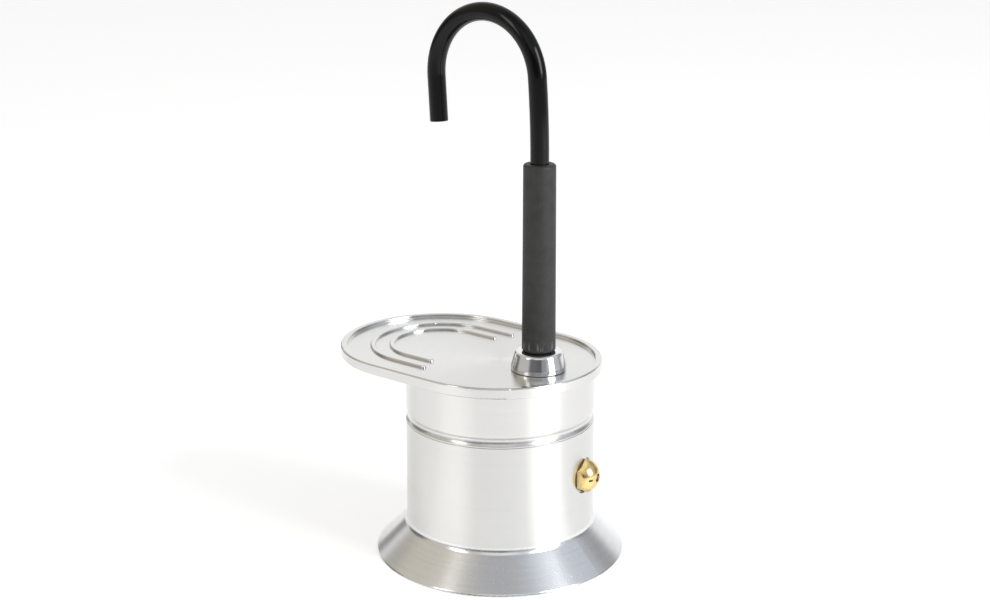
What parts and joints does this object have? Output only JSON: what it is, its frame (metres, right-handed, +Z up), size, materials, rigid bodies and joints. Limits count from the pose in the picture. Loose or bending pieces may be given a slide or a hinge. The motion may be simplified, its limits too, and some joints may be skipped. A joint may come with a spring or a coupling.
{
  "type": "stovetop coffee maker",
  "caption": "Small camping stovetop espresso maker: round boiler with flared foot, screw-on head with oval cup platform, gripped gooseneck spout and brass safety valve.",
  "frame": {"origin": "boiler's axis at the surface it stands on", "axes": "+Z up; the cup platform reaches towards -X and the spout's boss is on +X"},
  "size_m": [0.1007, 0.0826, 0.1813],
  "materials": {
    "turned_aluminium": "satin, finely turned",
    "cast_aluminium": "satin collar, smooth plate",
    "polished_aluminium": "polished, lightly brushed",
    "polished_nut": "polished with fine turning lines",
    "spun_aluminium": "bright sheet",
    "valve_brass": "bright turned brass",
    "pin_steel": "plain stainless",
    "spring_steel": "drawn wire",
    "fibre_washer": "pressed fibre",
    "silicone_seal": "soft matte",
    "gloss_black": "gloss black coating",
    "grip_silicone": "matte dark grey"
  },
  "bodies": {
    "boiler_assembly": {"boiler": "turned_aluminium", "flame_skirt": "polished_aluminium", "valve_body": "valve_brass", "valve_washer": "fibre_washer", "valve_spring": "spring_steel", "valve_retainer": "valve_brass", "funnel_cup": "spun_aluminium", "funnel_screen": "spun_aluminium", "funnel_stem": "spun_aluminium"},
    "valve_plunger": {"valve_poppet": "pin_steel", "valve_seal": "silicone_seal"},
    "seal_stack": {"head_gasket": "silicone_seal", "filter_plate": "spun_aluminium"},
    "head": {"brew_head": "cast_aluminium", "spout_nut": "polished_nut", "spout_o_ring": "silicone_seal", "gland_washer": "pin_steel"},
    "spout": {"spout_tube": "gloss_black", "tube_collar": "pin_steel", "grip_sleeve": "grip_silicone"}
  },
  "joints": [
    {"name": "head_rise", "type": "slide", "parent": "boiler_assembly", "child": "seal_stack", "axis": [0, 0, 1], "range_m": [0, 0.00751]},
    {"name": "head_unscrew", "type": "hinge", "parent": "seal_stack", "child": "head", "pos_m": [0, 0, 0.05], "axis": [0, 0, 1], "range_deg": [0, 1080]},
    {"name": "spout_swivel", "type": "hinge", "parent": "head", "child": "spout", "pos_m": [0.016, 0, 0.068], "axis": [0, 0, 1], "continuous": true},
    {"name": "valve_lift", "type": "slide", "parent": "boiler_assembly", "child": "valve_plunger", "axis": [0.981, 0.1942, 0], "range_m": [0, 0.001], "stiffness_N_per_m": 272, "springref_m": -0.002, "deforming": ["valve_spring"]}
  ],
  "couplings": [
    {"joint": "head_rise", "follows": "head_unscrew", "m_per_rad": 0.00039789}
  ]
}
